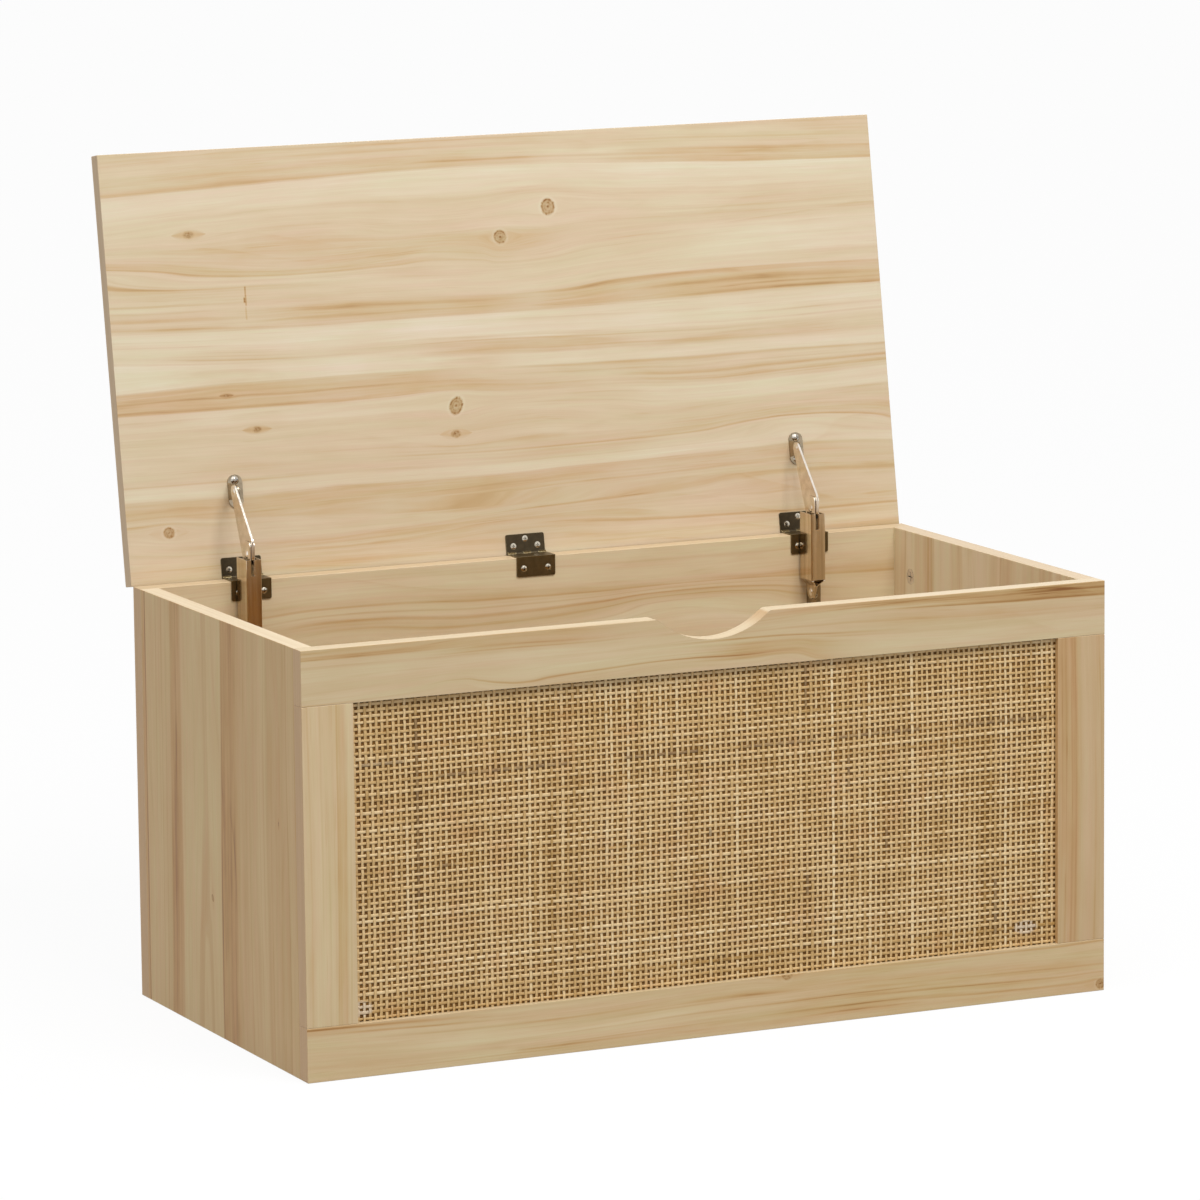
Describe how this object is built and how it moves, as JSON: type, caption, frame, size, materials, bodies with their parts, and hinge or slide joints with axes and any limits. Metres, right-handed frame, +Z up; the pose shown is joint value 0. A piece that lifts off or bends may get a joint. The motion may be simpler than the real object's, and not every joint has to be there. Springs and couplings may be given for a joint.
{
  "type": "storage chest",
  "caption": "Low rectangular wood-look storage chest with a recessed woven cane front, a finger notch and a hinged lid held open by sprung metal stays.",
  "frame": {"origin": "middle of the underside, on the floor", "axes": "+X to the right along the long side, +Y from the cane front to the hinged back, +Z up"},
  "size_m": [0.8, 0.4836, 0.7779],
  "materials": {
    "board_laminate": "satin light pine print with visible grain and small knots",
    "cane": "natural square-woven cane",
    "hardboard": "dark brown hardboard",
    "beech_dowel": "plain beech",
    "zinc": "bare die-cast zinc",
    "hinge_bronze": "dark bronze plating, worn lighter on the edges",
    "screw_nickel": "bright nickel",
    "stay_nickel": "polished nickel plate",
    "spring_steel": "oiled spring wire"
  },
  "bodies": {
    "carcass": {"bottom_panel": "board_laminate", "front_bottom_rail": "board_laminate", "front_top_rail": "board_laminate", "front_left_stile": "board_laminate", "front_right_stile": "board_laminate", "left_side": "board_laminate", "right_side": "board_laminate", "back_panel": "board_laminate", "cane_panel": "cane", "cane_backing": "hardboard", "frame_dowels": "beech_dowel", "carcass_dowels": "beech_dowel", "cam_bolts": "zinc", "cam_locks": "zinc", "left_hinge_frame_leaf": "hinge_bronze", "left_hinge_pin": "hinge_bronze", "left_hinge_frame_screws": "screw_nickel", "centre_hinge_frame_leaf": "hinge_bronze", "centre_hinge_pin": "hinge_bronze", "centre_hinge_frame_screws": "screw_nickel", "right_hinge_frame_leaf": "hinge_bronze", "right_hinge_pin": "hinge_bronze", "right_hinge_frame_screws": "screw_nickel", "left_stay_base": "stay_nickel", "left_stay_base_screws": "screw_nickel", "left_stay_base_rivet": "stay_nickel", "right_stay_base": "stay_nickel", "right_stay_base_screws": "screw_nickel", "right_stay_base_rivet": "stay_nickel"},
    "lid": {"lid_panel": "board_laminate", "left_hinge_lid_leaf": "hinge_bronze", "left_hinge_lid_screws": "screw_nickel", "centre_hinge_lid_leaf": "hinge_bronze", "centre_hinge_lid_screws": "screw_nickel", "right_hinge_lid_leaf": "hinge_bronze", "right_hinge_lid_screws": "screw_nickel", "left_stay_lid_bracket": "stay_nickel", "left_stay_lid_screws": "screw_nickel", "left_stay_lid_rivet": "stay_nickel", "right_stay_lid_bracket": "stay_nickel", "right_stay_lid_screws": "screw_nickel", "right_stay_lid_rivet": "stay_nickel"},
    "left_stay_swing": {"left_stay_case": "stay_nickel", "left_stay_spring": "spring_steel", "left_stay_plunger": "stay_nickel", "left_stay_fork_rivet": "stay_nickel"},
    "left_stay_link": {"left_stay_arm": "stay_nickel", "left_stay_arm_rivet": "stay_nickel"},
    "right_stay_swing": {"right_stay_case": "stay_nickel", "right_stay_spring": "spring_steel", "right_stay_plunger": "stay_nickel", "right_stay_fork_rivet": "stay_nickel"},
    "right_stay_link": {"right_stay_arm": "stay_nickel", "right_stay_arm_rivet": "stay_nickel"}
  },
  "joints": [
    {"name": "lid_hinge", "type": "hinge", "parent": "carcass", "child": "lid", "pos_m": [0, 0.2023, 0.3853], "axis": [1, 0, 0], "range_deg": [0, 99.3]},
    {"name": "left_case_pivot", "type": "hinge", "parent": "carcass", "child": "left_stay_swing", "pos_m": [-0.2985, 0.1685, 0.331], "axis": [1, 0, 0], "range_deg": [0, 99.3]},
    {"name": "left_arm_pivot", "type": "hinge", "parent": "left_stay_swing", "child": "left_stay_link", "pos_m": [-0.2985, 0.16485, 0.41266], "axis": [1, 0, 0], "range_deg": [-99.3, 0]},
    {"name": "right_case_pivot", "type": "hinge", "parent": "carcass", "child": "right_stay_swing", "pos_m": [0.2855, 0.1685, 0.331], "axis": [1, 0, 0], "range_deg": [0, 99.3]},
    {"name": "right_arm_pivot", "type": "hinge", "parent": "right_stay_swing", "child": "right_stay_link", "pos_m": [0.2855, 0.16485, 0.41266], "axis": [1, 0, 0], "range_deg": [-99.3, 0]}
  ],
  "couplings": [
    {"joint": "left_case_pivot", "follows": "lid_hinge", "ratio": 1},
    {"joint": "left_arm_pivot", "follows": "lid_hinge", "ratio": -1},
    {"joint": "right_case_pivot", "follows": "lid_hinge", "ratio": 1},
    {"joint": "right_arm_pivot", "follows": "lid_hinge", "ratio": -1}
  ]
}
